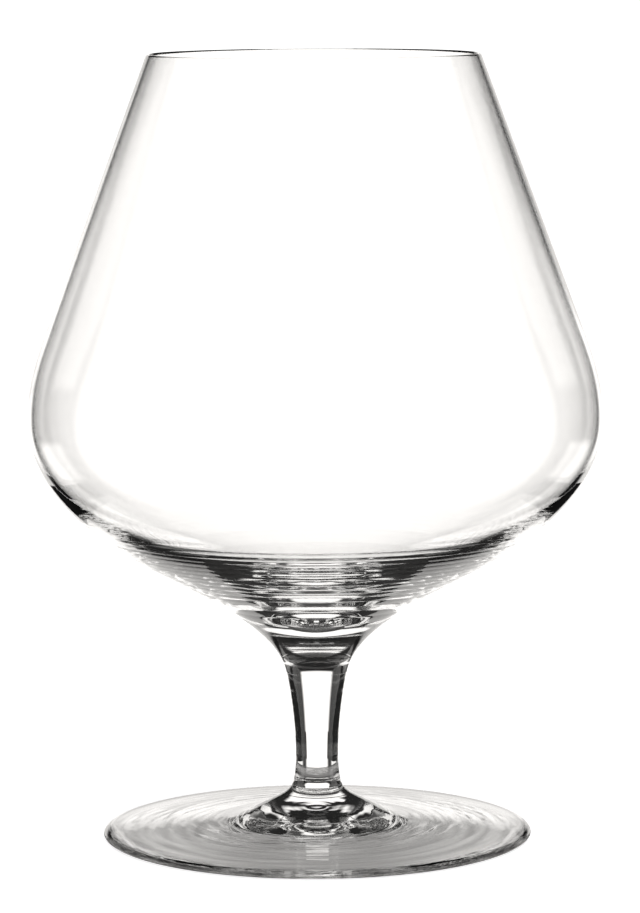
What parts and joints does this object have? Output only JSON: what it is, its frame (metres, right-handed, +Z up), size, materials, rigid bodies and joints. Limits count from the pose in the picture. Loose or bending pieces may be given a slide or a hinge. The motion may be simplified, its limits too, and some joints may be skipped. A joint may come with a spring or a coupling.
{
  "type": "brandy snifter",
  "caption": "Clear glass snifter: wide bowl that narrows to the mouth, turned rings under it, short solid stem, round foot with a shallow hollow below.",
  "frame": {"origin": "centre of the ring that the foot stands on, at table level", "axes": "+Z up along the glass's axis of revolution, from the foot to the mouth"},
  "size_m": [0.1212, 0.1212, 0.166],
  "materials": {
    "bowl_glass": "clear blown crystal, fire polished",
    "stem_glass": "clear drawn crystal, fire polished",
    "foot_glass": "clear spun crystal with faint tool rings, fire polished"
  },
  "bodies": {
    "root": {"bowl": "bowl_glass", "stem": "stem_glass", "foot": "foot_glass"}
  },
  "joints": []
}
